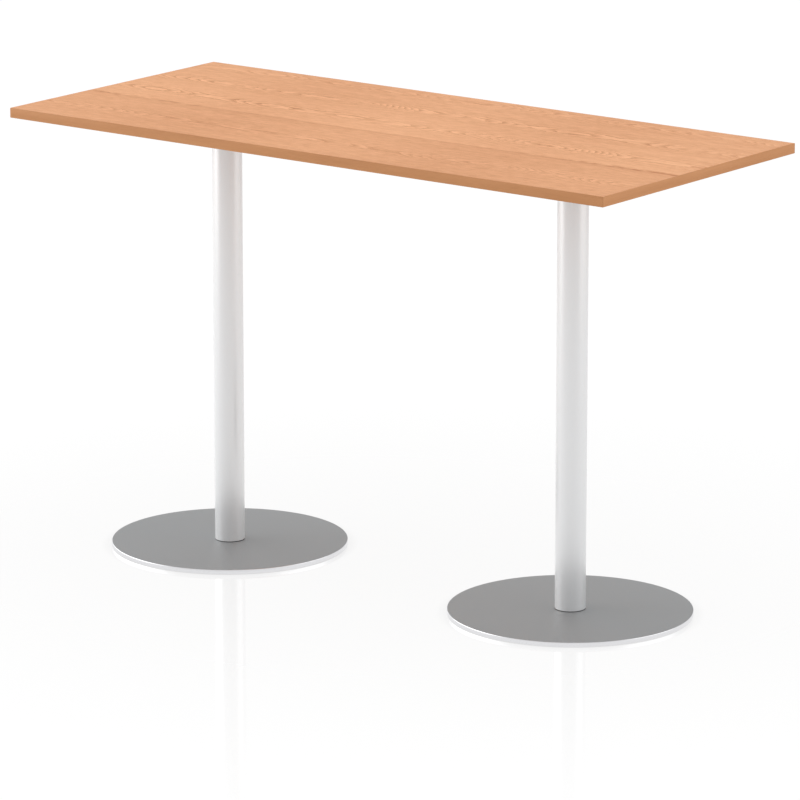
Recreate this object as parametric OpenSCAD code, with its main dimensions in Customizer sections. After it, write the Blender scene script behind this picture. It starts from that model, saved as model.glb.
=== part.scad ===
// Bar-height table: a wood-faced rectangular top on two round columns with disc bases.
// The origin is on the floor under the middle of the top. X runs along the top's length,
// Y along its depth with the front at -Y, and Z is up. Sizes are in millimetres.

/* [Top] */
// Length of the top, along X
top_length = 1800; // [1400:50:2400]
// Depth of the top, along Y
top_depth = 800; // [650:10:1000]
// Thickness of the top
top_thickness = 25; // [22:1:38]
// Height of the top's upper face above the floor
table_height = 1145; // [700:5:1200]
// Thickness of the edge bands
band_thickness = 2; // [1.6:0.2:3]
// Radius of the edge bands' outer arrises
arris_radius = 1.5; // [0.5:0.1:1.5]

/* [Columns] */
// From each end of the top to the nearer column's axis
column_inset = 368; // [300:4:500]
// Outer diameter of a column
column_diameter = 76; // [70:1:90]
// Wall of a column's tube
column_wall = 1.5; // [1.2:0.1:3]
// Thickness of the tapped disc welded into each end of a column
end_disc_thickness = 10; // [8:1:16]
// Thickness of the dark ring under a column
foot_ring_thickness = 1.5; // [1:0.5:3]

/* [Bases] */
// Outer diameter of a base
base_diameter = 600; // [500:10:640]
// Thickness of the steel weight plate
weight_thickness = 8; // [8:1:16]
// Sheet thickness of the base cover
cover_wall = 1; // [0.8:0.1:1.5]
// Outer radius where the cover's face turns down into its rim
cover_radius = 2; // [2:0.5:4]
// Gap between the cover's rim and the floor
rim_gap = 1; // [0.5:0.1:2]
// Gap around the weight plate inside the cover's rim
plate_gap = 0.5; // [0.3:0.1:1]

/* [Levelling glides] */
// Thread diameter of a glide's stem
stem_diameter = 8; // [6:1:10]
// How far the stem's round flange stands out from its thread
flange_overhang = 2; // [1.5:0.5:3]
// Thickness of the stem's flange
flange_thickness = 1.2; // [1:0.1:2]
// Diameter of a glide's nylon pad
pad_diameter = 30; // [24:1:40]
// Nylon under the stem's flange
pad_floor = 0.8; // [0.6:0.1:2]
// Nylon lip that holds the flange down in the pad
pad_lip = 0.6; // [0.4:0.1:2]
// Bevel round the pad's lower edge
pad_bevel = 0.4; // [0.2:0.1:0.6]
// From the edge of the base to a glide's axis
glide_inset = 40; // [30:1:60]
// Across flats of the hex key that turns a glide
glide_key = 4; // [3:0.5:4]
// Depth of the key's socket in the stem
glide_key_depth = 3; // [2:0.5:5]

/* [Spiders] */
// Side of the square hub plate
hub_size = 130; // [120:5:160]
// Thickness of the hub plate
hub_thickness = 6; // [5:1:10]
// From the column's axis to the tip of an arm
arm_reach = 290; // [220:10:340]
// Width of an arm
arm_width = 40; // [34:1:60]
// Sheet thickness of an arm
arm_wall = 3; // [2:0.5:4]
// Depth of an arm at the hub
arm_depth_hub = 30; // [24:1:50]
// Depth of an arm near its tip
arm_depth_tip = 12; // [8:1:20]
// Corner radius of an arm's tip
arm_corner = 8; // [4:1:12]

/* [Screws] */
// Diameter of the screws in the columns' end discs
machine_screw_diameter = 8; // [6:1:9]
// Head diameter of these countersunk screws
machine_head_diameter = 15; // [13:0.5:16]
// Diameter of the circle that these screws stand on
machine_screw_circle = 40; // [38:1:44]
// Length of the screws that hold a base to its column
foot_screw_length = 19; // [17:1:20]
// Length of the screws that hold a hub to its column
hub_screw_length = 16; // [14:1:24]
// Across flats of the key for these screws
machine_key = 5; // [4:0.5:6]
// Depth of that key's socket
machine_key_depth = 2.5; // [2:0.5:3]
// Diameter of the wood screws that hold the top
wood_screw_diameter = 4.8; // [4:0.2:6]
// Length of a wood screw inside the board
wood_screw_grip = 16; // [12:1:18]
// Head diameter of a wood screw
wood_head_diameter = 10; // [8:0.5:12]
// Head height of a wood screw
wood_head_height = 2.5; // [2:0.5:4]
// Diameter of the flat face on a wood screw's head
wood_head_face = 7; // [6:0.5:8]
// Diameter left at a wood screw's point
wood_point_diameter = 0.6; // [0.4:0.1:1]
// Length of each slot of the cross in a wood screw's head
wood_cross_length = 4.5; // [3.5:0.5:5.5]
// Width of each of these slots
wood_cross_width = 1; // [0.8:0.1:1.4]
// Depth of these slots
wood_cross_depth = 1.2; // [0.8:0.1:1.6]
// From the hub to the nearer wood screw in an arm
wood_screw_from_hub = 45; // [30:1:60]
// From an arm's tip to the further wood screw
wood_screw_from_tip = 22; // [16:1:30]

/* [Clearances] */
// Radial gap round screws, threads and the columns' end discs
fit_gap = 0.1; // [0.05:0.01:0.1]
// Gap round the stem's flange and neck in the pad
flange_gap = 0.2; // [0.2:0.05:0.3]
// Gap between a stem's end and the base cover
stem_end_gap = 0.4; // [0.3:0.1:1]
// Metal left between the foot screws and the opening round them
opening_land = 4; // [3:0.5:5]
// Depth left past the end of a wood screw
pilot_gap = 1; // [0.5:0.5:2]

/* [Hidden] */
SIDES = ["left", "right"];
QUARTERS = [1, 2, 3, 4];
FIXED_PARTS = ["base_cover", "weight_plate", "foot_ring", "column", "foot_disc", "foot_screws",
               "head_disc", "spider_hub", "hub_screws", "board_screws"];
REPEATED_PARTS = ["spider_arm_", "glide_pad_", "glide_stem_"];

$fn = 96;
cut = 1; // how far a cutting shape runs past the face that it opens

// Heights, from the floor up
pad_height = pad_floor + flange_thickness + 2 * flange_gap + pad_lip;
plate_top = pad_height + weight_thickness;
cover_top = plate_top + cover_wall;
column_bottom = cover_top + foot_ring_thickness;
board_bottom = table_height - top_thickness;
column_top = board_bottom - hub_thickness;

// Places in plan
column_x = top_length / 2 - column_inset;
glide_circle = base_diameter / 2 - glide_inset;
tube_bore = column_diameter - 2 * column_wall;
opening_diameter = machine_screw_circle + machine_screw_diameter + 2 * opening_land;
plate_diameter = base_diameter - 2 * (cover_wall + plate_gap);
WOOD_SCREW_PLACES = [hub_size / 2 + wood_screw_from_hub, arm_reach - wood_screw_from_tip];

// Sizes that follow from others
machine_head_height = (machine_head_diameter - machine_screw_diameter) / 2;
stem_bottom = pad_floor + flange_gap;
flange_diameter = stem_diameter + 2 * flange_overhang;
pad_key_hole = glide_key / cos(30) + 2 * flange_gap;

function side_x(side) = side == "left" ? -column_x : column_x;
function quarter_angle(k) = 45 + 90 * (k - 1);

module at_quarter(k, radius) {
    rotate(quarter_angle(k)) translate([radius, 0, 0]) children();
}

module on_screw_circle() {
    for (turn = [0:3]) rotate(90 * turn) translate([machine_screw_circle / 2, 0, 0]) children();
}

module rounded_rectangle(size, r) {
    square([size.x - 2 * r, size.y], center = true);
    square([size.x, size.y - 2 * r], center = true);
    for (sx = [-1, 1]) for (sy = [-1, 1])
        translate([sx * (size.x / 2 - r), sy * (size.y / 2 - r)]) circle(r);
}

// The whole top's outer form, with every arris rounded
module top_envelope() {
    r = arris_radius;
    translate([0, 0, board_bottom + top_thickness / 2]) intersection() {
        linear_extrude(top_thickness + 2 * cut, center = true)
            rounded_rectangle([top_length, top_depth], r);
        rotate([90, 0, 0]) linear_extrude(top_depth + 2 * cut, center = true)
            rounded_rectangle([top_length, top_thickness], r);
        rotate([90, 0, 90]) linear_extrude(top_length + 2 * cut, center = true)
            rounded_rectangle([top_depth, top_thickness], r);
    }
}

module top_board() {
    color("burlywood") difference() {
        translate([-top_length / 2 + band_thickness, -top_depth / 2 + band_thickness, board_bottom])
            cube([top_length - 2 * band_thickness, top_depth - 2 * band_thickness, top_thickness]);
        for (side = SIDES) translate([side_x(side), 0, board_bottom - cut])
            for (k = QUARTERS) for (place = WOOD_SCREW_PLACES) at_quarter(k, place)
                cylinder(d = wood_screw_diameter + 2 * fit_gap,
                         h = cut + wood_screw_grip + pilot_gap);
    }
}

// A band along the front (-1) or the back (1), which also covers the end bands' ends
module long_band(end) {
    middle = end * (top_depth - band_thickness) / 2;
    color("peru") intersection() {
        top_envelope();
        translate([0, middle, board_bottom + top_thickness / 2])
            cube([top_length + 2 * cut, band_thickness, top_thickness + 2 * cut], center = true);
    }
}

// A band across the left (-1) or the right (1) end, between the long bands
module end_band(end) {
    middle = end * (top_length - band_thickness) / 2;
    color("peru") intersection() {
        top_envelope();
        translate([middle, 0, board_bottom + top_thickness / 2])
            cube([band_thickness, top_depth - 2 * band_thickness, top_thickness + 2 * cut],
                 center = true);
    }
}

// Half the section of a pan's outline: a flat top that turns down into a rim
module pan_section(radius, top, bottom, corner) {
    translate([0, bottom]) square([radius, top - corner - bottom]);
    translate([0, bottom]) square([radius - corner, top - bottom]);
    translate([radius - corner, top - corner]) circle(corner);
}

module base_cover() {
    outer = base_diameter / 2;
    color("gray") rotate_extrude() difference() {
        pan_section(outer, cover_top, rim_gap, cover_radius);
        pan_section(outer - cover_wall, plate_top, rim_gap - cut, cover_radius - cover_wall);
        translate([0, plate_top - cut]) square([opening_diameter / 2, cover_wall + 2 * cut]);
        translate([-outer, 0]) square([outer, 2 * cover_top]);
    }
}

// A countersunk screw whose head's face is at z = 0 and whose shank runs along +Z
module machine_screw(length) {
    difference() {
        union() {
            cylinder(d = machine_screw_diameter, h = length);
            cylinder(d1 = machine_head_diameter, d2 = machine_screw_diameter,
                     h = machine_head_height);
        }
        translate([0, 0, -cut])
            cylinder(d = machine_key / cos(30), h = cut + machine_key_depth, $fn = 6);
    }
}

// The hole for such a screw: its countersink and its shank's hole, a fit gap wider all over
module machine_screw_hole(length) {
    cylinder(d = machine_screw_diameter + 2 * fit_gap, h = length);
    translate([0, 0, fit_gap]) cylinder(d1 = machine_head_diameter + 2 * fit_gap,
        d2 = machine_screw_diameter + 2 * fit_gap, h = machine_head_height);
    translate([0, 0, -cut]) cylinder(d = machine_head_diameter + 2 * fit_gap, h = cut + fit_gap);
}

module weight_plate() {
    r = plate_diameter / 2;
    color("dimgray") difference() {
        rotate_extrude() polygon([
            [0, pad_height], [r, pad_height], [r, plate_top - cover_radius],
            [r - cover_radius, plate_top], [0, plate_top]
        ]);
        translate([0, 0, pad_height]) on_screw_circle()
            machine_screw_hole(weight_thickness + cut);
        for (k = QUARTERS) at_quarter(k, glide_circle) translate([0, 0, pad_height - cut])
            cylinder(d = stem_diameter + 2 * fit_gap, h = weight_thickness + 2 * cut);
    }
}

module foot_ring() {
    color("black") translate([0, 0, cover_top]) difference() {
        cylinder(d = column_diameter, h = foot_ring_thickness);
        translate([0, 0, -cut]) cylinder(d = opening_diameter, h = foot_ring_thickness + 2 * cut);
    }
}

module column() {
    color("silver") translate([0, 0, column_bottom]) difference() {
        cylinder(d = column_diameter, h = column_top - column_bottom);
        translate([0, 0, -cut]) cylinder(d = tube_bore, h = column_top - column_bottom + 2 * cut);
    }
}

// The tapped disc inside one end of a column, with its lower face at z = bottom
module end_disc(bottom) {
    color("slategray") translate([0, 0, bottom]) difference() {
        cylinder(d = tube_bore - 2 * fit_gap, h = end_disc_thickness);
        on_screw_circle() translate([0, 0, -cut])
            cylinder(d = machine_screw_diameter + 2 * fit_gap, h = end_disc_thickness + 2 * cut);
    }
}

module foot_screws() {
    color("darkslategray") translate([0, 0, pad_height + fit_gap]) on_screw_circle()
        machine_screw(foot_screw_length);
}

module hub_screws() {
    color("darkslategray") translate([0, 0, board_bottom - fit_gap]) mirror([0, 0, 1])
        on_screw_circle() machine_screw(hub_screw_length);
}

module spider_hub() {
    color("darkslategray") difference() {
        translate([0, 0, column_top + hub_thickness / 2]) rotate(45)
            cube([hub_size, hub_size, hub_thickness], center = true);
        translate([0, 0, board_bottom]) mirror([0, 0, 1]) on_screw_circle()
            machine_screw_hole(hub_thickness + cut);
    }
}

// An arm's top in plan, from the hub at x = 0 to its rounded tip
module arm_plan(length) {
    square([length - arm_corner, arm_width]);
    translate([0, arm_corner]) square([length, arm_width - 2 * arm_corner]);
    for (y = [arm_corner, arm_width - arm_corner])
        translate([length - arm_corner, y]) circle(arm_corner);
}

module spider_arm(k) {
    length = arm_reach - hub_size / 2;
    web_length = length - arm_corner;
    color("darkslategray") at_quarter(k, hub_size / 2)
        translate([0, -arm_width / 2, board_bottom]) difference() {
            union() {
                mirror([0, 0, 1]) linear_extrude(arm_wall) arm_plan(length);
                for (y = [arm_wall, arm_width]) translate([0, y, 0]) rotate([90, 0, 0])
                    linear_extrude(arm_wall) polygon([
                        [0, 0], [web_length, 0], [web_length, -arm_depth_tip], [0, -arm_depth_hub]
                    ]);
            }
            for (place = WOOD_SCREW_PLACES)
                translate([place - hub_size / 2, arm_width / 2, -arm_wall - cut])
                    cylinder(d = wood_screw_diameter + 2 * fit_gap, h = arm_wall + 2 * cut);
        }
}

// A wood screw whose head bears on z = 0 from below
module wood_screw() {
    shank = arm_wall + wood_screw_grip;
    point = wood_screw_diameter;
    difference() {
        union() {
            translate([0, 0, -wood_head_height])
                cylinder(d1 = wood_head_face, d2 = wood_head_diameter, h = wood_head_height);
            cylinder(d = wood_screw_diameter, h = shank - point);
            translate([0, 0, shank - point])
                cylinder(d1 = wood_screw_diameter, d2 = wood_point_diameter, h = point);
        }
        for (turn = [0, 90]) rotate(turn) translate([0, 0, -wood_head_height])
            cube([wood_cross_length, wood_cross_width, 2 * wood_cross_depth], center = true);
    }
}

module board_screws() {
    color("gold") translate([0, 0, board_bottom - arm_wall]) for (k = QUARTERS)
        for (place = WOOD_SCREW_PLACES) at_quarter(k, place) wood_screw();
}

module glide_pad(k) {
    r = pad_diameter / 2;
    color("black") at_quarter(k, glide_circle) difference() {
        rotate_extrude() polygon([
            [0, 0], [r - pad_bevel, 0], [r, pad_bevel], [r, pad_height], [0, pad_height]
        ]);
        translate([0, 0, -cut]) cylinder(d = pad_key_hole, h = pad_height);
        translate([0, 0, pad_floor]) cylinder(d = flange_diameter + 2 * flange_gap,
            h = flange_thickness + 2 * flange_gap);
        translate([0, 0, pad_floor]) cylinder(d = stem_diameter + 2 * flange_gap, h = pad_height);
    }
}

module glide_stem(k) {
    color("lightgray") at_quarter(k, glide_circle) translate([0, 0, stem_bottom]) difference() {
        union() {
            cylinder(d = flange_diameter, h = flange_thickness);
            cylinder(d = stem_diameter, h = plate_top - stem_end_gap - stem_bottom);
        }
        translate([0, 0, -cut])
            cylinder(d = glide_key / cos(30), h = cut + glide_key_depth, $fn = 6);
    }
}

top_board();
long_band(-1);  // front_edge_band
long_band(1);  // back_edge_band
end_band(-1);  // left_edge_band
end_band(1);  // right_edge_band
for (side = SIDES) translate([side_x(side), 0, 0]) {
    base_cover();
    weight_plate();
    foot_ring();
    column();
    end_disc(column_bottom);
    foot_screws();
    end_disc(column_top - end_disc_thickness);
    spider_hub();
    hub_screws();
    board_screws();
    for (k = QUARTERS) {
        spider_arm(k);
        glide_pad(k);
        glide_stem(k);
    }
}
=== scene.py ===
"""Bar-height table with an oak-look top, two silver columns and two round grey bases."""

import math
from collections import namedtuple

import bmesh
import bpy
from bpy.props import FloatProperty, FloatVectorProperty, PointerProperty
from mathutils import Matrix, Vector


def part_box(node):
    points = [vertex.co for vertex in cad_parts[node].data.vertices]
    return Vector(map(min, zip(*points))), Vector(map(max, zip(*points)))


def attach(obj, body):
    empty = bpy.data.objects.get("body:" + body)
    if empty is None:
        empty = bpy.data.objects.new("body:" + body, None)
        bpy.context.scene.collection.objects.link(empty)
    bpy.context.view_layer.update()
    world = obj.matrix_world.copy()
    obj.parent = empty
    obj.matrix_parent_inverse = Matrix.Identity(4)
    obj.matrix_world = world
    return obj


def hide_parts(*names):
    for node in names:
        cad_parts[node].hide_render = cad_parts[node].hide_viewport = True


bl_info = {
    "name": "Bar-height Table",
    "version": (1, 0, 0),
    "blender": (4, 5, 0),
    "location": "3D View > Sidebar > Table",
    "description": "Dresses a packed bar-height table with wood, silver paint and satin steel",
    "category": "Object",
}

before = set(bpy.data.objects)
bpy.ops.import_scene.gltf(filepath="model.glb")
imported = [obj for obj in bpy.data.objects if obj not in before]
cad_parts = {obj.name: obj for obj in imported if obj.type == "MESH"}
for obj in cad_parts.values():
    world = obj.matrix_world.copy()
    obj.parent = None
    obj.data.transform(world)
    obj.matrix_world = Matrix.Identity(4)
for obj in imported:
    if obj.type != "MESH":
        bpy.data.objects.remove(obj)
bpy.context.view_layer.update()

SIDES = ("left", "right")
QUARTERS = (1, 2, 3, 4)
ROOT = "root"
MM = 0.001
DIAGONAL = math.sqrt(0.5)


def axis_of(node):
    """The middle of a CAD node's box, brought down to the floor."""
    low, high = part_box(node)
    return Vector(((low.x + high.x) / 2, (low.y + high.y) / 2, 0))


def radius_of(node):
    """Half the width of a round CAD node."""
    low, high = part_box(node)
    return (high.y - low.y) / 2


def screen(red, green, blue):
    """A colour written as it looks on screen, from 0 to 255, made linear by the sRGB curve."""
    shares = [value / 255 for value in (red, green, blue)]
    return tuple(s / 12.92 if s <= 0.04045 else ((s + 0.055) / 1.055) ** 2.4 for s in shares) + (1.0,)


def shaded(colour, factor):
    """A colour times a factor, kept opaque."""
    return tuple(min(1.0, channel * factor) for channel in colour[:3]) + (1.0,)


class Quantity:
    """A number that varies over a surface. Python's operators on it add Math nodes."""

    def __init__(self, shading, socket):
        self.shading = shading
        self.socket = socket

    def __add__(self, other):
        return self.shading.maths("ADD", self, other)

    def __radd__(self, other):
        return self.shading.maths("ADD", other, self)

    def __sub__(self, other):
        return self.shading.maths("SUBTRACT", self, other)

    def __rsub__(self, other):
        return self.shading.maths("SUBTRACT", other, self)

    def __mul__(self, other):
        return self.shading.maths("MULTIPLY", self, other)

    def __rmul__(self, other):
        return self.shading.maths("MULTIPLY", other, self)

    def __truediv__(self, other):
        return self.shading.maths("DIVIDE", self, other)

    def __rtruediv__(self, other):
        return self.shading.maths("DIVIDE", other, self)

    def __gt__(self, other):
        return self.shading.maths("GREATER_THAN", self, other)

    def __lt__(self, other):
        return self.shading.maths("LESS_THAN", self, other)

    def __abs__(self):
        return self.shading.maths("ABSOLUTE", self)

    def root(self):
        """The square root."""
        return self.shading.maths("SQRT", self)

    def sine(self):
        """The sine, of an angle in radians."""
        return self.shading.maths("SINE", self)

    def fraction(self):
        """What is left after the whole number is taken off."""
        return self.shading.maths("FRACT", self)

    def clamped(self):
        """The same number, kept between 0 and 1."""
        return self.shading.maths("MINIMUM", self.shading.maths("MAXIMUM", self, 0.0), 1.0)

    def above(self, threshold, gain):
        """How far it is above a threshold, times a gain, kept between 0 and 1."""
        return ((self - threshold) * gain).clamped()

    def within(self, reach):
        """1 where it is zero, falling evenly to 0 where it comes to this reach."""
        return (1.0 - self / reach).clamped()


class Shading:
    """The node tree of a material or a world, with one method that adds any node."""

    def __init__(self, owner):
        owner.use_nodes = True
        self.owner = owner
        self.tree = owner.node_tree
        self.tree.nodes.clear()

    def node(self, kind, settings=None, sockets=None):
        """Adds a node of this kind, makes its settings, then fills or links its sockets."""
        made = self.tree.nodes.new(kind)
        for name, value in (settings or {}).items():
            setattr(made, name, value)
        for key, value in (sockets or {}).items():
            if isinstance(value, Quantity):
                value = value.socket
            if isinstance(value, bpy.types.NodeSocket):
                self.tree.links.new(value, made.inputs[key])
            else:
                made.inputs[key].default_value = value
        return made

    def maths(self, operation, *values):
        """A Math node on these values."""
        made = self.node("ShaderNodeMath", {"operation": operation}, dict(enumerate(values)))
        return Quantity(self, made.outputs[0])

    def place(self):
        """The point on the piece, in metres, as three quantities."""
        here = self.node("ShaderNodeTexCoord").outputs["Object"]
        split = self.node("ShaderNodeSeparateXYZ", sockets={0: here})
        return [Quantity(self, output) for output in split.outputs]

    def noise(self, x, y, z, detail=2.0, roughness=0.5):
        """Smooth noise, about 0.5 in the middle, at a place that is already scaled."""
        vector = self.node("ShaderNodeCombineXYZ", sockets={0: x, 1: y, 2: z}).outputs[0]
        sockets = {"Vector": vector, "Scale": 1.0, "Detail": detail, "Roughness": roughness}
        return Quantity(self, self.node("ShaderNodeTexNoise", sockets=sockets).outputs[0])

    def blend(self, factor, first, second):
        """A colour between two colours."""
        sockets = {0: factor, 6: first, 7: second}
        return self.node("ShaderNodeMix", {"data_type": "RGBA"}, sockets).outputs[2]

    def bump(self, height, distance, strength=1.0):
        """A normal bent by a height that varies from 0 to 1."""
        sockets = {"Height": height, "Distance": distance, "Strength": strength}
        return self.node("ShaderNodeBump", sockets=sockets).outputs["Normal"]

    def mix(self, factor, first, second):
        """A shader between two shaders."""
        return self.node("ShaderNodeMixShader", sockets={0: factor, 1: first, 2: second}).outputs[0]

    def principled(self, **sockets):
        """Ends the tree in a Principled shader with these sockets, and gives back the material."""
        named = {key.replace("_", " "): value for key, value in sockets.items()}
        shader = self.node("ShaderNodeBsdfPrincipled", sockets=named)
        self.node("ShaderNodeOutputMaterial", sockets={"Surface": shader.outputs[0]})
        return self.owner


def material_shading(name):
    """The shading of a new, empty material."""
    return Shading(bpy.data.materials.new(name))


class MeshMaker:
    """Gathers points and faces, and makes an object of them."""

    def __init__(self):
        self.mesh = bmesh.new()

    def rings(self, rings, closed=False):
        """Joins rings of as many points each by a skin. A closed skin joins the last to the first."""
        made = [[self.mesh.verts.new(point) for point in ring] for ring in rings]
        count = len(made[0])
        pairs = list(zip(made, made[1:]))
        if closed:
            pairs.append((made[-1], made[0]))
        for this, following in pairs:
            for i in range(count):
                j = (i + 1) % count
                self.mesh.faces.new((this[i], following[i], following[j], this[j]))
        if not closed:
            self.mesh.faces.new(reversed(made[0]))
            self.mesh.faces.new(made[-1])

    def lathe(self, profile, middle, steps):
        """Turns a closed outline of (radius, height) points once round a vertical axis."""
        rings = []
        for step in range(steps):
            turn = 2 * math.pi * step / steps
            outward = Vector((math.cos(turn), math.sin(turn), 0))
            rings.append([middle + outward * r + Vector((0, 0, height)) for r, height in profile])
        self.rings(rings, closed=True)

    def finish(self, name, materials, sharp_angle=math.radians(35)):
        """Makes the object, with edges sharper than an angle kept sharp."""
        bmesh.ops.recalc_face_normals(self.mesh, faces=self.mesh.faces)
        for face in self.mesh.faces:
            face.smooth = True
        for edge in self.mesh.edges:
            edge.smooth = len(edge.link_faces) == 2 and edge.calc_face_angle() < sharp_angle
        data = bpy.data.meshes.new(name)
        self.mesh.to_mesh(data)
        self.mesh.free()
        for material in materials:
            data.materials.append(material)
        made = bpy.data.objects.new(name, data)
        bpy.context.scene.collection.objects.link(made)
        return made


def arc(centre, radius, start, end, steps):
    """Points on an arc about a centre, with angles in degrees."""
    turns = [math.radians(start + (end - start) * i / steps) for i in range(steps + 1)]
    return [
        (centre[0] + radius * math.cos(turn), centre[1] + radius * math.sin(turn)) for turn in turns
    ]


def dress(node, material, bevel=0.0):
    """Gives a CAD node a material, and softens its edges by a modifier."""
    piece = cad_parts[node]
    piece.data.materials.clear()
    piece.data.materials.append(material)
    if bevel:
        softened = piece.modifiers.new("Softened edges", "BEVEL")
        softened.width = bevel
        softened.segments = 2
        softened.limit_method = "ANGLE"
        softened.angle_limit = math.radians(40)


def stand_in(piece, node, body=ROOT):
    """Puts a modelled piece in a CAD node's place."""
    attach(piece, body)
    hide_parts(node)


class TopSettings(bpy.types.PropertyGroup):
    """Sizes and colours of the top."""

    wood_light: FloatVectorProperty(
        name="Light wood", description="Colour of the palest grain", subtype="COLOR",
        size=4, min=0, max=1, default=screen(255, 193, 145),
    )
    wood_dark: FloatVectorProperty(
        name="Dark wood", description="Colour of the darkest grain", subtype="COLOR",
        size=4, min=0, max=1, default=screen(191, 119, 70),
    )
    edge_light: FloatVectorProperty(
        name="Light edging", description="Palest colour of the edge bands", subtype="COLOR",
        size=4, min=0, max=1, default=screen(219, 158, 110),
    )
    edge_dark: FloatVectorProperty(
        name="Dark edging", description="Darkest colour of the edge bands", subtype="COLOR",
        size=4, min=0, max=1, default=screen(177, 118, 71),
    )
    roughness: FloatProperty(
        name="Roughness", description="Roughness of the laminate", default=0.5, min=0, max=1,
    )
    arris: FloatProperty(
        name="Arris radius", description="Rounding of the edge bands' outer corners",
        default=1.5 * MM, min=0.2 * MM, max=2 * MM, unit="LENGTH",
    )
    joint_bevel: FloatProperty(
        name="Joint bevel", description="Scraped bevel where a band meets the board",
        default=0.2 * MM, min=0, max=0.5 * MM, unit="LENGTH",
    )
    ring_spacing: FloatProperty(
        name="Ring spacing", description="Distance between the printed growth rings",
        default=4.2 * MM, min=1 * MM, max=20 * MM, unit="LENGTH",
    )


class PedestalSettings(bpy.types.PropertyGroup):
    """Colours of the columns and the bases, and the sizes of what is folded, welded and threaded."""

    column_paint: FloatVectorProperty(
        name="Column", description="Silver paint of the columns", subtype="COLOR",
        size=4, min=0, max=1, default=screen(238, 239, 240),
    )
    # Partly painted shade: this grey is darker than the rims' steel, standing in for the shade and dark
    # reflections under the table top.
    base_face_painted_shade: FloatVectorProperty(
        name="Base", description="Satin grey of the bases' top faces", subtype="COLOR",
        size=4, min=0, max=1, default=screen(162, 165, 167),
    )
    base_rim: FloatVectorProperty(
        name="Rim", description="Bright steel of the bases' rims", subtype="COLOR",
        size=4, min=0, max=1, default=screen(226, 226, 228),
    )
    spider_paint: FloatVectorProperty(
        name="Spider", description="Powder coat of the brackets under the top", subtype="COLOR",
        size=4, min=0, max=1, default=screen(46, 47, 49),
    )
    arm_wall: FloatProperty(
        name="Arm sheet", description="Sheet thickness of the spiders' arms",
        default=3 * MM, min=2 * MM, max=4 * MM, unit="LENGTH",
    )
    arm_bend: FloatProperty(
        name="Arm bend", description="Outer radius of the arms' folds",
        default=4.5 * MM, min=3 * MM, max=8 * MM, unit="LENGTH",
    )
    arm_tip_depth: FloatProperty(
        name="Tip depth", description="Depth of an arm's sides at its tip",
        default=12 * MM, min=8 * MM, max=20 * MM, unit="LENGTH",
    )
    arm_corner: FloatProperty(
        name="Tip corner", description="Corner radius of an arm's tip",
        default=8 * MM, min=4 * MM, max=12 * MM, unit="LENGTH",
    )
    weld_leg: FloatProperty(
        name="Weld", description="Leg of the welds between the arms and the hub",
        default=2.6 * MM, min=1 * MM, max=4 * MM, unit="LENGTH",
    )
    thread_pitch: FloatProperty(
        name="Thread pitch", description="Pitch of the glides' threads",
        default=1.25 * MM, min=0.5 * MM, max=2 * MM, unit="LENGTH",
    )
    key_flats: FloatProperty(
        name="Key", description="Across flats of the glides' hex sockets",
        default=4 * MM, min=3 * MM, max=4 * MM, unit="LENGTH",
    )


class StageSettings(bpy.types.PropertyGroup):
    """The camera, the sky and the lamps."""

    camera_place: FloatVectorProperty(
        name="Camera", description="Where the camera stands", subtype="TRANSLATION",
        size=3, default=(8.034, -10.552, 3.719), unit="LENGTH",
    )
    camera_heading: FloatProperty(
        name="Heading", description="Turn of the view from +Y, to the right", subtype="ANGLE",
        default=math.radians(-37.244),
    )
    camera_pitch: FloatProperty(
        name="Pitch", description="How far the view looks down", subtype="ANGLE",
        default=math.radians(13.831),
    )
    camera_lens: FloatProperty(
        name="Lens", description="Focal length on a 36 mm sensor", default=248.7, min=1,
    )
    sky: FloatProperty(
        name="Sky", description="Strength of the even light from all round", default=0.84, min=0,
    )
    lamp_power: FloatProperty(
        name="Lamps", description="Share of the lamps' full power", default=1.0, min=0,
    )


Plank = namedtuple("Plank", "grain_line back_side tone figure")

# The printed planks, from the back of the table to its front. The grain line, which the flames follow,
# and the back side are places along Y in metres. The tone and the strength of the figure are shares.
PLANKS = (
    Plank(0.352, 0.400, -0.010, 0.55),
    Plank(0.182, 0.266, 0.000, 0.85),
    Plank(0.017, 0.118, 0.045, 0.90),
    Plank(-0.264, -0.094, -0.045, 0.50),
)


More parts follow.
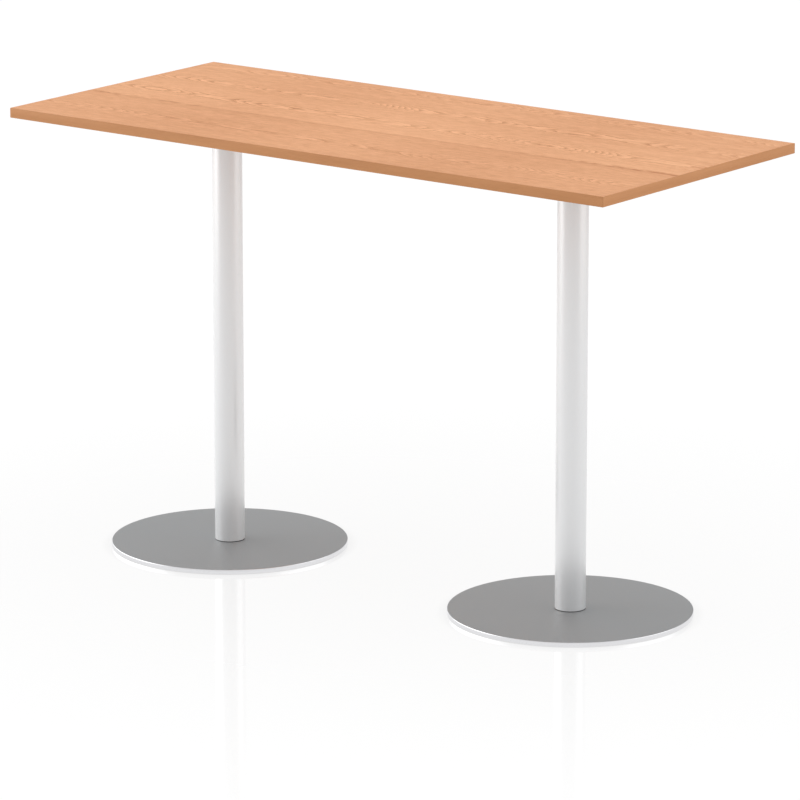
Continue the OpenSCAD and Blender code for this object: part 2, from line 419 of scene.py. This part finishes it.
def oak_top(light, dark, roughness, ring_spacing):
    """Oak-look laminate with its grain along X: planks with flame figure, rings and pores."""
    oak = material_shading("oak_face")
    x, y = oak.place()[:2]
    offset, plank, tone, figure = nearest_plank(y)

    # The rings are cut through a log whose core wanders sideways and up and down along the plank.
    # Close to the grain line they lie flat, and show as flames.
    wander_width, core_depth, fray_width, flame_reach = 30 * MM, 180 * MM, 4.2 * MM, 45 * MM
    wander = oak.noise(x * 2.3, plank * 3.1, 5.0, detail=1.0)
    rise = oak.noise(x * 1.7, plank * 7.7, 9.0, detail=1.5)
    fray = oak.noise(x * 24.0, y * 150.0, 13.0, detail=2.0)
    line = offset + (wander - 0.5) * wander_width
    height = (rise - 0.15) * core_depth
    radius = (line * line + height * height).root() + (fray - 0.5) * fray_width
    ring = (radius / ring_spacing).fraction()
    early_wood = (1.0 - ring) * (1.0 - ring)
    flame = (1.25 - abs(line) / flame_reach).clamped() * figure

    # Dashes and flecks in the flames, broad and fine streaks all over, and pores in the early wood
    dash = oak.noise(x * 7.0, y * 40.0, 17.0, detail=2.0).above(0.36, gain=5.0)
    fleck = oak.noise(x * 34.0, y * 62.0, 19.0, detail=1.0)
    broad = oak.noise(x * 1.1, y * 24.0, 21.0, detail=3.0)
    streak = oak.noise(x * 26.0, y * 100.0, 23.0, detail=2.0)
    fine = oak.noise(x * 7.0, y * 210.0, 25.0, detail=4.0, roughness=0.7)
    speckle = oak.noise(x * 75.0, y * 1500.0, 29.0, detail=2.0, roughness=0.4)
    pore = speckle.above(0.57, gain=9.0) * (0.30 + early_wood)

    # The tone, from 0 for dark to 1 for light: a slow wave along the table and the streaks, then the
    # rings and pores, then the flecks, and then the joint behind the front plank
    middle_tone, wave_length = 0.655, 0.8
    wave = (x * (2 * math.pi / wave_length) + math.pi / 2).sine()
    tone = tone + middle_tone + wave * 0.048 + (broad - 0.5) * 0.26 + (fine - 0.5) * 0.40
    tone = tone + (streak - 0.5) * 0.56
    tone = tone - (early_wood - 0.33) * (0.09 + flame * dash * 0.75) - pore * 0.30
    tone = tone + flame * (0.3 + dash * 0.7) * (fleck - 0.5) * 0.55
    tone = tone + plank_joint(oak, x, y)
    return oak.principled(
        Base_Color=oak.blend(tone.clamped(), dark, light),
        Roughness=(roughness + (fine - 0.5) * 0.10 + pore * 0.08).clamped(),
        Specular_IOR_Level=0.09,
        Normal=oak.bump(fine * 0.5 - pore, 0.05 * MM, 0.6),
    )


def nearest_plank(y):
    """How far a point is from its plank's grain line, the plank's number, its tone and its figure."""
    first = PLANKS[0]
    grain_line, number, tone, figure = first.grain_line, 0.0, first.tone, first.figure
    for behind, plank in zip(PLANKS, PLANKS[1:]):
        reached = y < plank.back_side
        grain_line = grain_line + reached * (plank.grain_line - behind.grain_line)
        tone = tone + reached * (plank.tone - behind.tone)
        figure = figure + reached * (plank.figure - behind.figure)
        number = number + reached
    return y - grain_line, number, tone, figure


def plank_joint(oak, x, y):
    """The joint behind the front plank: wood that is paler behind it and darker before it, and a
    ragged dark line, darkest towards the ends of the table."""
    waviness, fade_reach, line_reach = 8 * MM, 55 * MM, 16 * MM
    right_end, left_end = 0.40, -0.42
    offset = y - PLANKS[-1].back_side
    wavy = oak.noise(x * 9.0, 2.5, 31.0, detail=2.0)
    offset = offset + (wavy - 0.5) * waviness
    behind = offset > 0.0
    distance = abs(offset)
    ragged = oak.noise(x * 30.0, y * 60.0, 33.0, detail=2.0)
    ends = x.above(right_end, gain=2.5) + ((left_end - x) * 3.0).clamped() * 0.75
    line = distance.within(line_reach) * ragged.above(0.40, gain=5.0)
    return distance.within(fade_reach) * (behind * 0.16 - 0.075) - line * (0.10 + ends * 0.48)


def oak_edging(name, light, dark, roughness, along, corner):
    """Oak-print edge band with its grain along X (0) or Y (1), rubbed pale near the corners."""
    band = material_shading(name)
    place = band.place()
    run, across = place[along], place[1 - along] + place[2]
    broad = band.noise(run * 3.0, across * 60.0, 3.0, detail=2.0)
    fine = band.noise(run * 18.0, across * 900.0, 7.0, detail=3.0, roughness=0.6)
    rub = band.noise(run * 160.0, place[2] * 420.0, 11.0, detail=3.0, roughness=0.6)
    worn = (corner - abs(run)).within(40 * MM) * rub.above(0.56, gain=7.0)
    tone = 0.5 + (broad - 0.5) * 0.5 + (fine - 0.5) * 0.5 + worn * 0.6
    return band.principled(
        Base_Color=band.blend(tone.clamped(), dark, light),
        Roughness=(roughness + (fine - 0.5) * 0.10).clamped(),
        Specular_IOR_Level=0.25,
        Normal=band.bump(fine, 0.03 * MM, 0.5),
    )


class TABLE_OT_top(bpy.types.Operator):
    """Dress the board in oak laminate and fit its four edge bands"""

    bl_idname = "table.top"
    bl_label = "Top and Edge Bands"

    def execute(self, context):
        settings = context.scene.table_top
        # The factor after the roughness is painted light: it makes the end bands' print paler than the
        # long bands', standing in for the stronger light that falls on the table's ends.
        rough, end_painted_light = settings.roughness, 1.14
        light, dark = settings.wood_light[:], settings.wood_dark[:]
        dress("top_board", oak_top(light, dark, rough, settings.ring_spacing))
        corner = self.whole_top()[1]
        light, dark = settings.edge_light[:], settings.edge_dark[:]
        long_print = oak_edging("oak_edge_long", light, dark, rough, along=0, corner=corner.x)
        # Painted light: the end bands get the long bands' colours made paler by that factor.
        light, dark = shaded(light, end_painted_light), shaded(dark, end_painted_light)
        painted_light_end_print = oak_edging("oak_edge_end_painted_light", light, dark, rough, along=1, corner=corner.y)
        for edge, axis, inward, material in (
            ("front", 1, 1, long_print),
            ("back", 1, -1, long_print),
            ("left", 0, 1, painted_light_end_print),
            ("right", 0, -1, painted_light_end_print),
        ):
            self.band(edge, axis, inward, settings, material)
        return {"FINISHED"}

    def whole_top(self):
        """The box of the board and its bands together."""
        low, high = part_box("front_edge_band")
        return low, Vector((high.x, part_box("back_edge_band")[1].y, high.z))

    def band(self, edge, axis, inward, settings, material):
        """One band, cut across its thin axis from a rounded block as large as the whole top."""
        node = f"{edge}_edge_band"
        low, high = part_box(node)
        top_low, top_high = self.whole_top()
        maker = MeshMaker()
        size = Matrix.Diagonal(top_high - top_low).to_4x4()
        block = Matrix.Translation((top_low + top_high) / 2) @ size
        bmesh.ops.create_cube(maker.mesh, size=1.0, matrix=block)
        bmesh.ops.bevel(
            maker.mesh, geom=list(maker.mesh.edges), offset=settings.arris, segments=6,
            profile=0.5, affect="EDGES",
        )
        inner = high[axis] if inward > 0 else low[axis]
        self.slice(maker.mesh, axis, inner, inward)
        if axis == 0:
            self.slice(maker.mesh, 1, low.y, -1)
            self.slice(maker.mesh, 1, high.y, 1)
        self.bevel_joint(maker.mesh, axis, inner, settings.joint_bevel)
        stand_in(maker.finish(f"{edge}_banding", [material]), node)

    def slice(self, mesh, axis, at, outward):
        """Cuts away what lies past a plane, and closes the cut."""
        point, normal = Vector((0, 0, 0)), Vector((0, 0, 0))
        point[axis], normal[axis] = at, outward
        geometry = list(mesh.verts) + list(mesh.edges) + list(mesh.faces)
        cut = bmesh.ops.bisect_plane(
            mesh, geom=geometry, plane_co=point, plane_no=normal, clear_outer=True
        )
        rim = [item for item in cut["geom_cut"] if isinstance(item, bmesh.types.BMEdge)]
        bmesh.ops.contextual_create(mesh, geom=rim)

    def bevel_joint(self, mesh, axis, inner, width):
        """Bevels the band's two long inner edges, which shows as the joint line."""
        near = 0.01 * MM
        found = [
            edge for edge in mesh.edges
            if all(abs(vert.co[axis] - inner) < near for vert in edge.verts)
            and abs(edge.verts[0].co.z - edge.verts[1].co.z) < near
        ]
        bmesh.ops.bevel(mesh, geom=found, offset=width, segments=1, affect="EDGES")


def silver_paint(name, paint):
    """Silver paint with fine flake and a faint orange-peel surface."""
    silver = material_shading(name)
    x, y, z = silver.place()
    flake = silver.noise(x * 2600.0, y * 2600.0, z * 2600.0, detail=1.0)
    peel = silver.noise(x * 420.0, y * 420.0, z * 260.0, detail=2.0)
    return silver.principled(
        Base_Color=silver.blend(flake, shaded(paint, 0.94), shaded(paint, 1.04)),
        Metallic=0.4,
        Roughness=(0.31 + (peel - 0.5) * 0.08).clamped(),
        Normal=silver.bump(peel, 0.02 * MM, 0.5),
    )


def black_rubber(name):
    """Dull black rubber with a fine grain."""
    rubber = material_shading(name)
    x, y, z = rubber.place()
    grain = rubber.noise(x * 900.0, y * 900.0, z * 900.0)
    return rubber.principled(
        Base_Color=rubber.blend(grain, screen(34, 34, 35), screen(50, 50, 51)),
        Roughness=(0.7 + (grain - 0.5) * 0.1).clamped(),
        Normal=rubber.bump(grain, 0.03 * MM, 0.5),
    )


class TABLE_OT_columns(bpy.types.Operator):
    """Turn the two columns and the dark rings that they stand on"""

    bl_idname = "table.columns"
    bl_label = "Columns and Foot Rings"

    def execute(self, context):
        silver = silver_paint("column_silver", context.scene.table_pedestal.column_paint[:])
        rubber = black_rubber("ring_rubber")
        for side in SIDES:
            self.column(side, silver)
            self.ring(side, rubber)
        return {"FINISHED"}

    def column(self, side, material):
        """A tube with eased ends, just clear of the discs inside it."""
        node = f"{side}_column"
        low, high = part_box(node)
        clearance, ease = 0.1 * MM, 0.4 * MM
        outer = radius_of(node)
        inner = radius_of(f"{side}_foot_disc") + clearance
        profile = arc((outer - ease, low.z + ease), ease, -90, 0, 4)
        profile += arc((outer - ease, high.z - ease), ease, 0, 90, 4)
        profile += [(inner, high.z), (inner, low.z)]
        maker = MeshMaker()
        maker.lathe(profile, axis_of(node), steps=160)
        stand_in(maker.finish(f"{side}_tube", [material]), node)

    def ring(self, side, material):
        """A flat ring with a rounded outer edge, which shows as the dark line."""
        node = f"{side}_foot_ring"
        low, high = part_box(node)
        half, lip = (high.z - low.z) / 2, 9 * MM
        outer = radius_of(node) - half
        inner = outer - lip
        profile = arc((outer, low.z + half), half, -90, 90, 8)
        profile += [(inner, high.z), (inner, low.z)]
        maker = MeshMaker()
        maker.lathe(profile, axis_of(node), steps=128)
        stand_in(maker.finish(f"{side}_seal", [material]), node)


def brushed_steel(name, colour, roughness, contrast, metallic):
    """Steel or lacquered steel with fine straight brush lines along X."""
    steel = material_shading(name)
    x, y, z = steel.place()
    lines = steel.noise(x * 9.0, y * 2100.0, z * 2100.0, detail=3.0)
    cloud = steel.noise(x * 6.0, y * 6.0, 2.0, detail=2.0)
    shades = shaded(colour, 1 - contrast), shaded(colour, 1 + contrast)
    return steel.principled(
        Base_Color=steel.blend(lines * 0.6 + cloud * 0.4, *shades),
        Metallic=metallic,
        Roughness=(roughness + (lines - 0.5) * 0.10 + (cloud - 0.5) * 0.04).clamped(),
        Normal=steel.bump(lines, 0.008 * MM, 0.35),
    )


def plate_primer(name):
    """Dark primer over the scale of a hot-rolled plate."""
    primer = material_shading(name)
    x, y, z = primer.place()
    scale = primer.noise(x * 160.0, y * 160.0, z * 160.0, detail=4.0)
    return primer.principled(
        Base_Color=primer.blend(scale, screen(38, 38, 40), screen(68, 67, 68)),
        Metallic=0.2,
        Roughness=(0.5 + (scale - 0.5) * 0.2).clamped(),
        Normal=primer.bump(scale, 0.1 * MM, 0.5),
    )


class TABLE_OT_bases(bpy.types.Operator):
    """Spin the two base covers and paint the weight plates under them"""

    bl_idname = "table.bases"
    bl_label = "Bases"

    def execute(self, context):
        settings = context.scene.table_pedestal
        # The top faces' darker grey is partly painted shade; the rims keep the bright steel.
        face = brushed_steel(
            "base_face_painted_shade", settings.base_face_painted_shade[:], roughness=0.52, contrast=0.05, metallic=0.55
        )
        rim = brushed_steel(
            "base_rim", settings.base_rim[:], roughness=0.28, contrast=0.02, metallic=1.0
        )
        primer = plate_primer("plate_primer")
        for side in SIDES:
            self.cover(side, face, rim)
            dress(f"{side}_weight_plate", primer, bevel=0.3 * MM)
        return {"FINISHED"}

    def cover(self, side, face, rim):
        """A thin pan: flat to the column, round the rim, down, and back on its inside."""
        node = f"{side}_base_cover"
        low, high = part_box(node)
        outer = radius_of(node)
        wall = high.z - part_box(f"{side}_weight_plate")[1].z
        corner, under_column, rim_drop = 2 * wall, 10 * MM, 0.7 * MM
        hole = radius_of(f"{side}_column") - under_column
        profile = [(hole, high.z)]
        profile += arc((outer - corner, high.z - corner), corner, 90, 0, 10)
        profile += arc((outer - wall / 2, low.z + wall / 2), wall / 2, 0, -180, 6)
        profile += arc((outer - corner, high.z - corner), corner - wall, 0, 90, 6)
        profile += [(hole, high.z - wall)]
        maker = MeshMaker()
        maker.lathe(profile, axis_of(node), steps=288)
        piece = maker.finish(f"{side}_base_shell", [face, rim])
        for polygon in piece.data.polygons:
            # Faces above the rim's edge take the darker grey, which is partly painted shade.
            polygon.material_index = int(polygon.center.z < high.z - rim_drop)
        stand_in(piece, node)


# The plating of the screws and of the glides' stems
ZINC = screen(196, 196, 192)


def textured_coat(name, colour, grain):
    """Fine-textured coating or moulded plastic, with so many grains to the metre."""
    coat = material_shading(name)
    x, y, z = coat.place()
    texture = coat.noise(x * grain, y * grain, z * grain, detail=2.0)
    return coat.principled(
        Base_Color=coat.blend(texture, colour, shaded(colour, 1.5)),
        Roughness=(0.46 + (texture - 0.5) * 0.2).clamped(),
        Normal=coat.bump(texture, 0.05 * MM, 0.6),
    )


def cloudy_steel(name, colour, roughness):
    """Bare or zinc-plated steel with slight cloudiness."""
    steel = material_shading(name)
    x, y, z = steel.place()
    cloud = steel.noise(x * 300.0, y * 300.0, z * 300.0, detail=3.0)
    return steel.principled(
        Base_Color=steel.blend(cloud, shaded(colour, 0.8), colour),
        Metallic=1.0,
        Roughness=(roughness + (cloud - 0.5) * 0.15).clamped(),
        Normal=steel.bump(cloud, 0.02 * MM, 0.4),
    )


class TABLE_OT_spiders(bpy.types.Operator):
    """Fold and weld the arms of the brackets under the top, and finish their discs and screws"""

    bl_idname = "table.spiders"
    bl_label = "Spiders and Screws"

    def execute(self, context):
        settings = context.scene.table_pedestal
        coat = textured_coat("spider_coat", settings.spider_paint[:], grain=1100.0)
        steel = cloudy_steel("disc_steel", screen(165, 166, 168), roughness=0.4)
        zinc = cloudy_steel("screw_zinc", ZINC, roughness=0.3)
        for side in SIDES:
            dress(f"{side}_spider_hub", coat, bevel=0.6 * MM)
            for k in QUARTERS:
                self.arm(side, k, settings, coat)
            for part in ("foot_disc", "head_disc"):
                dress(f"{side}_{part}", steel)
            for part in ("foot_screws", "hub_screws", "board_screws"):
                dress(f"{side}_{part}", zinc)
        return {"FINISHED"}

    def arm(self, side, k, settings, coat):
        """One folded channel, drawn along X from the hub's edge, and then turned to its quarter."""
        low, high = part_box(f"{side}_spider_arm_1")
        hub_low, hub_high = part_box(f"{side}_spider_hub")
        column = axis_of(f"{side}_column")
        # The boxes are along the axes and the arms at 45 degrees. The hub's box runs corner to corner,
        # and the first arm's box from one side of its root to the rounded corner of its tip.
        start = (hub_high.x - hub_low.x) / 2 * DIAGONAL
        half = start - (low.x - column.x) / DIAGONAL
        corner = settings.arm_corner
        tip = (high.x - column.x) / DIAGONAL - half + corner * (2 - 1 / DIAGONAL)
        length = tip - start
        maker = MeshMaker()
        self.channel(maker, length, half, high.z - low.z, settings)
        self.welds(maker, half, hub_high.z - hub_low.z, settings)
        turned = Matrix.Rotation(math.radians(45 + 90 * (k - 1)), 4, "Z")
        placed = Matrix.Translation(column + Vector((0, 0, high.z)))
        stand = placed @ turned @ Matrix.Translation((start, 0, 0))
        bmesh.ops.transform(maker.mesh, matrix=stand, verts=maker.mesh.verts)
        piece = maker.finish(f"{side}_bracket_{k}", [coat])
        stand_in(piece, f"{side}_spider_arm_{k}")

    def channel(self, maker, length, half, depth, settings):
        """The arm's sheet: a channel whose sides taper, and a flat rounded tip."""
        wall, bend, corner = settings.arm_wall, settings.arm_bend, settings.arm_corner
        sides_end, tip_bend, too_near = length - corner, wall * 0.2, 0.02 * MM
        rings = [
            self.section(0, half, depth, bend, wall),
            self.section(sides_end, half, settings.arm_tip_depth, bend, wall),
            self.section(sides_end, half, wall, tip_bend, wall),
        ]
        steps = 6
        for step in range(1, steps + 1):
            turn = math.radians(90 * step / steps)
            x = sides_end + corner * math.sin(turn)
            y = half - corner + corner * math.cos(turn)
            rings.append(self.section(x, y, wall, tip_bend, wall))
        maker.rings(rings)
        bmesh.ops.remove_doubles(maker.mesh, verts=maker.mesh.verts, dist=too_near)
        bmesh.ops.dissolve_degenerate(maker.mesh, edges=maker.mesh.edges, dist=too_near)

    def section(self, x, half, depth, bend, wall):
        """The channel's outline across the arm, from one side's lower edge, over, and back inside."""
        fold = max(bend - wall, 0.0)
        inner, steps = half - wall, 5
        outside = arc((bend - half, -bend), bend, 180, 90, steps)
        outside += arc((half - bend, -bend), bend, 90, 0, steps)
        inside = arc((inner - fold, -wall - fold), fold, 0, 90, steps)
        inside += arc((fold - inner, -wall - fold), fold, 90, 180, steps)
        outline = [(-half, -depth)] + outside + [(half, -depth), (inner, -depth)]
        outline += inside + [(-inner, -depth)]
        return [Vector((x, y, z)) for y, z in outline]

    def welds(self, maker, half, hub_thickness, settings):
        """Three beads: one under the sheet along the hub's edge, and one outside each side."""
        leg, wall = settings.weld_leg, settings.arm_wall
        above_foot, below_head = 0.4 * MM, 0.6 * MM
        inside = half - wall - settings.arm_bend / 2
        out, down = Vector((1, 0, 0)), Vector((0, 0, -1))
        self.bead(maker, Vector((0, -inside, -wall)), Vector((0, inside, -wall)), out, down, leg)
        for side in (-1, 1):
            foot = Vector((0, side * half, above_foot - hub_thickness))
            head = Vector((0, side * half, -below_head))
            self.bead(maker, foot, head, out, Vector((0, side, 0)), leg)

    def bead(self, maker, start, end, first, second, leg):
        """A rippled fillet from start to end, with a leg along each of two faces."""
        length, ripple = (end - start).length, 2.4 * MM
        even, rippled, end_share, end_slope = 0.93, 0.09, 0.45, 4
        crown_share, far, near = 0.66, 0.92, 0.34
        steps = max(8, round(length / ripple * 6))
        rings = []
        for step in range(steps + 1):
            share = step / steps
            at = start.lerp(end, share)
            swell = even + rippled * math.cos(2 * math.pi * length * share / ripple)
            swell *= min(1.0, end_share + end_slope * share, end_share + end_slope * (1 - share))
            reach = leg * swell
            sunk = (first + second) * -0.3 * MM
            crown = (first + second) * reach * crown_share
            near_first = first * reach * far + second * reach * near
            near_second = second * reach * far + first * reach * near
            outline = (sunk, first * reach, near_first, crown, near_second, second * reach)
            rings.append([at + point for point in outline])
        maker.rings(rings)


class TABLE_OT_glides(bpy.types.Operator):
    """Finish the levelling glides' nylon pads and cut their steel stems' threads"""

    bl_idname = "table.glides"
    bl_label = "Levelling Glides"

    def execute(self, context):
        settings = context.scene.table_pedestal
        nylon = textured_coat("glide_nylon", screen(40, 40, 42), grain=1600.0)
        zinc = cloudy_steel("stem_zinc", ZINC, roughness=0.3)
        for side in SIDES:
            for k in QUARTERS:
                dress(f"{side}_glide_pad_{k}", nylon, bevel=0.2 * MM)
                self.stem(side, k, settings, zinc)
        return {"FINISHED"}

    def stem(self, side, k, settings, zinc):
        """A stem from its socket's floor, out over the flange, and up its thread to the end."""
        node = f"{side}_glide_stem_{k}"
        low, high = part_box(node)
        axis, pitch = axis_of(node), settings.thread_pitch
        flange, crest, depth_per_pitch = radius_of(node), 4 * MM, 0.5394
        flange_top, socket_depth, ease = low.z + 1.2 * MM, 3 * MM, 0.15 * MM
        neck = crest - depth_per_pitch * pitch
        count, rings_per_turn, tip_chamfer = 48, 10, 0.1 * MM

        def ring(height, radius):
            points = []
            for step in range(count):
                turn = 2 * math.pi * step / count
                r = radius(turn) if callable(radius) else radius
                points.append(axis + Vector((r * math.cos(turn), r * math.sin(turn), height)))
            return points

        def hexagon(turn):
            return settings.key_flats / 2 / math.cos((turn + math.pi / 6) % (math.pi / 3) - math.pi / 6)

        rings = [
            ring(low.z + socket_depth, hexagon),
            ring(low.z, hexagon),
            ring(low.z, flange - ease),
            ring(low.z + ease, flange),
            ring(flange_top - ease, flange),
            ring(flange_top, flange - ease),
            ring(flange_top, neck),
        ]
        start, end = flange_top + 0.5 * MM, high.z - 0.4 * MM
        steps = round((end - start) / pitch * rings_per_turn)
        for step in range(steps + 1):
            height = start + (end - start) * step / steps
            run_in = min(1.0, (height - start) / pitch * 2)

            # Flat at the crest and at the root, with straight flanks between them
            def thread(turn):
                phase = (height / pitch - turn / (2 * math.pi)) % 1.0
                flank = min(1.0, max(0.0, 1.6 * (1 - abs(2 * phase - 1)) - 0.2))
                return neck + (crest - neck) * flank * run_in

            rings.append(ring(height, thread))
        rings.append(ring(high.z, neck - tip_chamfer))
        maker = MeshMaker()
        maker.rings(rings)
        piece = maker.finish(f"{side}_threaded_stem_{k}", [zinc])
        stand_in(piece, node, f"{side}_stem_{k}")


class TABLE_OT_stage(bpy.types.Operator):
    """Lay the white floor, hang the soft lamps and set the camera"""

    bl_idname = "table.stage"
    bl_label = "Stage"

    def execute(self, context):
        settings = context.scene.table_stage
        self.floor()
        self.sky(context, settings.sky)
        self.lamps(settings.lamp_power)
        self.camera(context, settings)
        context.scene.view_settings.view_transform = "Standard"
        return {"FINISHED"}

    def floor(self):
        """A plane under the table's feet."""
        maker, reach = MeshMaker(), 30.0
        bmesh.ops.create_grid(maker.mesh, x_segments=1, y_segments=1, size=reach)
        maker.finish("studio_floor", [self.floor_finish()])

    def floor_finish(self):
        """White to the camera and in reflections, with a weak shadow, a painted shadow round each base,
        and a gloss round the bases.
        """
        studio = material_shading("studio_floor")
        x, y = studio.place()[:2]
        polish_reach, shadow_reach = 2.4, 28 * MM
        polish_share, shadow_share = 0.67, 0.07
        polished, painted_shadow = 0.13, 0.0
        for side in SIDES:
            aside = x - axis_of(f"{side}_base_cover").x
            distance = (aside * aside + y * y).root()
            polished = polished + distance.within(polish_reach) * polish_share
            # Painted shadow: the floor darkens in a ring just past each base's rim, fading out over its
            # reach.
            past_rim = distance - radius_of(f"{side}_base_cover")
            painted_shadow = painted_shadow + past_rim.within(shadow_reach) * shadow_share
        sheen = Quantity(studio, studio.node("ShaderNodeFresnel", sockets={"IOR": 1.45}).outputs[0])
        path = studio.node("ShaderNodeLightPath").outputs
        backing = studio.node("ShaderNodeNewGeometry").outputs["Backfacing"]
        # The lamps' light meets a plain pale floor, and mirror images show a white one. The camera
        # sees one that glows by itself and takes only a little light, so its shadows are weak.
        plain = studio.node("ShaderNodeBsdfDiffuse", sockets={"Color": (0.8, 0.8, 0.8, 1)})
        shade = studio.node("ShaderNodeBsdfDiffuse", sockets={"Color": (0.08, 0.08, 0.08, 1)})
        glow = studio.node("ShaderNodeEmission", sockets={"Strength": 0.958})
        lit = studio.node("ShaderNodeAddShader", sockets={0: shade.outputs[0], 1: glow.outputs[0]})
        polish = {"Color": (1, 1, 1, 1), "Roughness": 0.05}
        gloss = studio.node("ShaderNodeBsdfGlossy", sockets=polish)
        mirrored = studio.node("ShaderNodeEmission", sockets={"Strength": 1.0})
        clear = studio.node("ShaderNodeBsdfTransparent")
        near_base = studio.mix(painted_shadow, lit.outputs[0], shade.outputs[0])
        seen = studio.mix(polished * sheen, near_base, gloss.outputs[0])
        seen = studio.mix(backing, seen, clear.outputs[0])
        seen = studio.mix(path["Is Camera Ray"], plain.outputs[0], seen)
        both = studio.mix(self.in_mirrors(studio, path), seen, mirrored.outputs[0])
        studio.node("ShaderNodeOutputMaterial", sockets={"Surface": both})
        return studio.owner

    def in_mirrors(self, studio, path):
        """1 for a ray from a glossy or clear surface, which is how mirror images are seen."""
        return studio.maths("MAXIMUM", path["Is Glossy Ray"], path["Is Transmission Ray"])

    def sky(self, context, strength):
        """Even light from all round, which the camera and mirror images see as white."""
        studio = Shading(bpy.data.worlds.new("studio_sky"))
        context.scene.world = studio.owner
        path = studio.node("ShaderNodeLightPath").outputs
        light = studio.node("ShaderNodeBackground", sockets={"Strength": strength})
        white = studio.node("ShaderNodeBackground", sockets={"Strength": 1.0})
        shown = studio.maths("MAXIMUM", self.in_mirrors(studio, path), path["Is Camera Ray"])
        mixed = studio.mix(shown, light.outputs[0], white.outputs[0])
        studio.node("ShaderNodeOutputWorld", sockets={"Surface": mixed})
        studio.owner.cycles.sampling_method = "NONE"

    def lamps(self, share):
        """Large, weak softboxes: two on the left, one on the right and one overhead."""
        aim = Vector((0, 0, 0.7))
        for name, place, size, power in (
            ("left_softbox", (-12.8, -3.2, 4.0), (17.0, 10.0), 1020),
            ("front_softbox", (-10.0, -9.6, 3.2), (9.0, 9.0), 260),
            ("right_softbox", (12.0, 6.0, 3.2), (14.0, 9.0), 380),
            ("top_softbox", (0.2, 0.0, 4.4), (3.0, 3.0), 17),
        ):
            self.lamp(name, Vector(place), aim, size, power * share)

    def lamp(self, name, place, aim, size, power):
        """A rectangular lamp of this many watts, turned to the point that it is aimed at."""
        data = bpy.data.lights.new(name, "AREA")
        data.shape = "RECTANGLE"
        data.size, data.size_y = size
        data.energy = power
        lamp = bpy.data.objects.new(name, data)
        lamp.location = place
        lamp.rotation_mode = "QUATERNION"
        lamp.rotation_quaternion = (aim - place).to_track_quat("-Z", "Y")
        bpy.context.scene.collection.objects.link(lamp)

    def camera(self, context, settings):
        """A level camera, turned by its heading and tilted down by its pitch."""
        data = bpy.data.cameras.new("camera")
        data.lens = settings.camera_lens
        data.sensor_width = 36
        data.clip_end = 200
        heading, pitch = settings.camera_heading, settings.camera_pitch
        view = Vector((
            math.sin(heading) * math.cos(pitch),
            math.cos(heading) * math.cos(pitch),
            -math.sin(pitch),
        ))
        camera = bpy.data.objects.new("camera", data)
        camera.location = settings.camera_place
        camera.rotation_mode = "QUATERNION"
        camera.rotation_quaternion = view.to_track_quat("-Z", "Y")
        context.scene.collection.objects.link(camera)
        context.scene.camera = camera


BUILDERS = (
    TABLE_OT_top,
    TABLE_OT_columns,
    TABLE_OT_bases,
    TABLE_OT_spiders,
    TABLE_OT_glides,
    TABLE_OT_stage,
)


class TABLE_PT_panel(bpy.types.Panel):
    """Lists the builders, in the order in which they run"""

    bl_idname = "TABLE_PT_panel"
    bl_label = "Bar-height Table"
    bl_space_type = "VIEW_3D"
    bl_region_type = "UI"
    bl_category = "Table"

    def draw(self, context):
        for builder in BUILDERS:
            self.layout.operator(builder.bl_idname)


SETTINGS = {
    "table_top": TopSettings,
    "table_pedestal": PedestalSettings,
    "table_stage": StageSettings,
}


def register():
    """Registers the settings, the operators and the panel, and hangs the settings on the scene."""
    for settings in SETTINGS.values():
        bpy.utils.register_class(settings)
    for builder in BUILDERS:
        bpy.utils.register_class(builder)
    bpy.utils.register_class(TABLE_PT_panel)
    for name, settings in SETTINGS.items():
        setattr(bpy.types.Scene, name, PointerProperty(type=settings))


def unregister():
    """Undoes what register did, in the reverse order."""
    for name in SETTINGS:
        delattr(bpy.types.Scene, name)
    bpy.utils.unregister_class(TABLE_PT_panel)
    for builder in reversed(BUILDERS):
        bpy.utils.unregister_class(builder)
    for settings in reversed(SETTINGS.values()):
        bpy.utils.unregister_class(settings)


def main():
    """Builds everything."""
    register()
    for builder in BUILDERS:
        group, name = builder.bl_idname.split(".")
        getattr(getattr(bpy.ops, group), name)()


if __name__ == "__main__":
    main()
